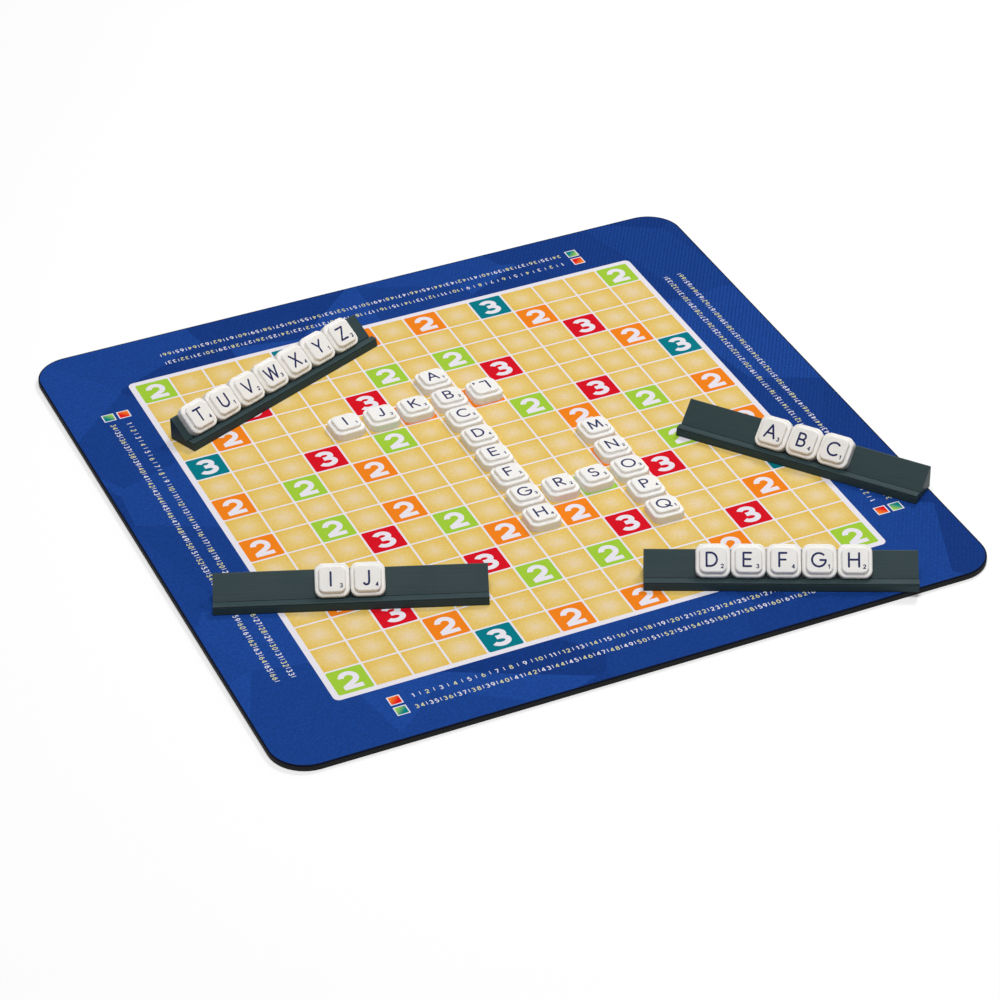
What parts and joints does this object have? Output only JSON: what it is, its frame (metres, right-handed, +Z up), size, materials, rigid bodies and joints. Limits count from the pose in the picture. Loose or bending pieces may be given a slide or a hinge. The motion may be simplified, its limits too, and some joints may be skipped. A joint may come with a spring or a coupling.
{
  "type": "travel word tile game",
  "caption": "Flat cloth-faced rubber mat printed with a square grid, with sloping tile racks and small two-step letter tiles laid out for play.",
  "frame": {"origin": "middle of the mat's underside, on the surface it rests on", "axes": "+Z up out of the mat's printed face, +X to the right along the board's rows, +Y up the board's columns"},
  "size_m": [0.2948, 0.2921, 0.0158],
  "materials": {
    "rubber_base": "matt foam rubber",
    "printed_cloth": "fine woven cloth, dye printed",
    "rack_plastic": "satin dark green-black",
    "tile_plastic": "soft gloss ivory"
  },
  "bodies": {
    "mat": {"mat_base": "rubber_base", "mat_cloth": "printed_cloth"},
    "rack_a": {"rack_a": "rack_plastic"},
    "rack_b": {"rack_b": "rack_plastic"},
    "rack_c": {"rack_c": "rack_plastic"},
    "rack_d": {"rack_d": "rack_plastic"},
    "board_tile_1": {"board_tile_1": "tile_plastic"},
    "board_tile_2": {"board_tile_2": "tile_plastic"},
    "board_tile_3": {"board_tile_3": "tile_plastic"},
    "board_tile_4": {"board_tile_4": "tile_plastic"},
    "board_tile_5": {"board_tile_5": "tile_plastic"},
    "board_tile_6": {"board_tile_6": "tile_plastic"},
    "board_tile_7": {"board_tile_7": "tile_plastic"},
    "board_tile_8": {"board_tile_8": "tile_plastic"},
    "board_tile_9": {"board_tile_9": "tile_plastic"},
    "board_tile_10": {"board_tile_10": "tile_plastic"},
    "board_tile_11": {"board_tile_11": "tile_plastic"},
    "board_tile_12": {"board_tile_12": "tile_plastic"},
    "board_tile_13": {"board_tile_13": "tile_plastic"},
    "board_tile_14": {"board_tile_14": "tile_plastic"},
    "board_tile_15": {"board_tile_15": "tile_plastic"},
    "board_tile_16": {"board_tile_16": "tile_plastic"},
    "board_tile_17": {"board_tile_17": "tile_plastic"},
    "board_tile_18": {"board_tile_18": "tile_plastic"},
    "board_tile_19": {"board_tile_19": "tile_plastic"},
    "rack_a_tile_1": {"rack_a_tile_1": "tile_plastic"},
    "rack_a_tile_2": {"rack_a_tile_2": "tile_plastic"},
    "rack_a_tile_3": {"rack_a_tile_3": "tile_plastic"},
    "rack_a_tile_4": {"rack_a_tile_4": "tile_plastic"},
    "rack_a_tile_5": {"rack_a_tile_5": "tile_plastic"},
    "rack_a_tile_6": {"rack_a_tile_6": "tile_plastic"},
    "rack_a_tile_7": {"rack_a_tile_7": "tile_plastic"},
    "rack_b_tile_1": {"rack_b_tile_1": "tile_plastic"},
    "rack_b_tile_2": {"rack_b_tile_2": "tile_plastic"},
    "rack_b_tile_3": {"rack_b_tile_3": "tile_plastic"},
    "rack_c_tile_1": {"rack_c_tile_1": "tile_plastic"},
    "rack_c_tile_2": {"rack_c_tile_2": "tile_plastic"},
    "rack_c_tile_3": {"rack_c_tile_3": "tile_plastic"},
    "rack_c_tile_4": {"rack_c_tile_4": "tile_plastic"},
    "rack_c_tile_5": {"rack_c_tile_5": "tile_plastic"},
    "rack_d_tile_1": {"rack_d_tile_1": "tile_plastic"},
    "rack_d_tile_2": {"rack_d_tile_2": "tile_plastic"}
  },
  "joints": [
    {"name": "rack_a_lift", "type": "slide", "parent": "mat", "child": "rack_a", "axis": [0, 0, 1], "range_m": [0, 0.04]},
    {"name": "rack_b_lift", "type": "slide", "parent": "mat", "child": "rack_b", "axis": [0, 0, 1], "range_m": [0, 0.04]},
    {"name": "rack_c_lift", "type": "slide", "parent": "mat", "child": "rack_c", "axis": [0, 0, 1], "range_m": [0, 0.04]},
    {"name": "rack_d_lift", "type": "slide", "parent": "mat", "child": "rack_d", "axis": [0, 0, 1], "range_m": [0, 0.04]},
    {"name": "board_tile_1_lift", "type": "slide", "parent": "mat", "child": "board_tile_1", "axis": [0, 0, 1], "range_m": [0, 0.03]},
    {"name": "board_tile_2_lift", "type": "slide", "parent": "mat", "child": "board_tile_2", "axis": [0, 0, 1], "range_m": [0, 0.03]},
    {"name": "board_tile_3_lift", "type": "slide", "parent": "mat", "child": "board_tile_3", "axis": [0, 0, 1], "range_m": [0, 0.03]},
    {"name": "board_tile_4_lift", "type": "slide", "parent": "mat", "child": "board_tile_4", "axis": [0, 0, 1], "range_m": [0, 0.03]},
    {"name": "board_tile_5_lift", "type": "slide", "parent": "mat", "child": "board_tile_5", "axis": [0, 0, 1], "range_m": [0, 0.03]},
    {"name": "board_tile_6_lift", "type": "slide", "parent": "mat", "child": "board_tile_6", "axis": [0, 0, 1], "range_m": [0, 0.03]},
    {"name": "board_tile_7_lift", "type": "slide", "parent": "mat", "child": "board_tile_7", "axis": [0, 0, 1], "range_m": [0, 0.03]},
    {"name": "board_tile_8_lift", "type": "slide", "parent": "mat", "child": "board_tile_8", "axis": [0, 0, 1], "range_m": [0, 0.03]},
    {"name": "board_tile_9_lift", "type": "slide", "parent": "mat", "child": "board_tile_9", "axis": [0, 0, 1], "range_m": [0, 0.03]},
    {"name": "board_tile_10_lift", "type": "slide", "parent": "mat", "child": "board_tile_10", "axis": [0, 0, 1], "range_m": [0, 0.03]},
    {"name": "board_tile_11_lift", "type": "slide", "parent": "mat", "child": "board_tile_11", "axis": [0, 0, 1], "range_m": [0, 0.03]},
    {"name": "board_tile_12_lift", "type": "slide", "parent": "mat", "child": "board_tile_12", "axis": [0, 0, 1], "range_m": [0, 0.03]},
    {"name": "board_tile_13_lift", "type": "slide", "parent": "mat", "child": "board_tile_13", "axis": [0, 0, 1], "range_m": [0, 0.03]},
    {"name": "board_tile_14_lift", "type": "slide", "parent": "mat", "child": "board_tile_14", "axis": [0, 0, 1], "range_m": [0, 0.03]},
    {"name": "board_tile_15_lift", "type": "slide", "parent": "mat", "child": "board_tile_15", "axis": [0, 0, 1], "range_m": [0, 0.03]},
    {"name": "board_tile_16_lift", "type": "slide", "parent": "mat", "child": "board_tile_16", "axis": [0, 0, 1], "range_m": [0, 0.03]},
    {"name": "board_tile_17_lift", "type": "slide", "parent": "mat", "child": "board_tile_17", "axis": [0, 0, 1], "range_m": [0, 0.03]},
    {"name": "board_tile_18_lift", "type": "slide", "parent": "mat", "child": "board_tile_18", "axis": [0, 0, 1], "range_m": [0, 0.03]},
    {"name": "board_tile_19_lift", "type": "slide", "parent": "mat", "child": "board_tile_19", "axis": [0, 0, 1], "range_m": [0, 0.03]},
    {"name": "rack_a_tile_1_lift", "type": "slide", "parent": "rack_a", "child": "rack_a_tile_1", "axis": [0, 0, 1], "range_m": [0, 0.03]},
    {"name": "rack_a_tile_2_lift", "type": "slide", "parent": "rack_a", "child": "rack_a_tile_2", "axis": [0, 0, 1], "range_m": [0, 0.03]},
    {"name": "rack_a_tile_3_lift", "type": "slide", "parent": "rack_a", "child": "rack_a_tile_3", "axis": [0, 0, 1], "range_m": [0, 0.03]},
    {"name": "rack_a_tile_4_lift", "type": "slide", "parent": "rack_a", "child": "rack_a_tile_4", "axis": [0, 0, 1], "range_m": [0, 0.03]},
    {"name": "rack_a_tile_5_lift", "type": "slide", "parent": "rack_a", "child": "rack_a_tile_5", "axis": [0, 0, 1], "range_m": [0, 0.03]},
    {"name": "rack_a_tile_6_lift", "type": "slide", "parent": "rack_a", "child": "rack_a_tile_6", "axis": [0, 0, 1], "range_m": [0, 0.03]},
    {"name": "rack_a_tile_7_lift", "type": "slide", "parent": "rack_a", "child": "rack_a_tile_7", "axis": [0, 0, 1], "range_m": [0, 0.03]},
    {"name": "rack_b_tile_1_lift", "type": "slide", "parent": "rack_b", "child": "rack_b_tile_1", "axis": [0, 0, 1], "range_m": [0, 0.03]},
    {"name": "rack_b_tile_2_lift", "type": "slide", "parent": "rack_b", "child": "rack_b_tile_2", "axis": [0, 0, 1], "range_m": [0, 0.03]},
    {"name": "rack_b_tile_3_lift", "type": "slide", "parent": "rack_b", "child": "rack_b_tile_3", "axis": [0, 0, 1], "range_m": [0, 0.03]},
    {"name": "rack_c_tile_1_lift", "type": "slide", "parent": "rack_c", "child": "rack_c_tile_1", "axis": [0, 0, 1], "range_m": [0, 0.03]},
    {"name": "rack_c_tile_2_lift", "type": "slide", "parent": "rack_c", "child": "rack_c_tile_2", "axis": [0, 0, 1], "range_m": [0, 0.03]},
    {"name": "rack_c_tile_3_lift", "type": "slide", "parent": "rack_c", "child": "rack_c_tile_3", "axis": [0, 0, 1], "range_m": [0, 0.03]},
    {"name": "rack_c_tile_4_lift", "type": "slide", "parent": "rack_c", "child": "rack_c_tile_4", "axis": [0, 0, 1], "range_m": [0, 0.03]},
    {"name": "rack_c_tile_5_lift", "type": "slide", "parent": "rack_c", "child": "rack_c_tile_5", "axis": [0, 0, 1], "range_m": [0, 0.03]},
    {"name": "rack_d_tile_1_lift", "type": "slide", "parent": "rack_d", "child": "rack_d_tile_1", "axis": [0, 0, 1], "range_m": [0, 0.03]},
    {"name": "rack_d_tile_2_lift", "type": "slide", "parent": "rack_d", "child": "rack_d_tile_2", "axis": [0, 0, 1], "range_m": [0, 0.03]}
  ]
}
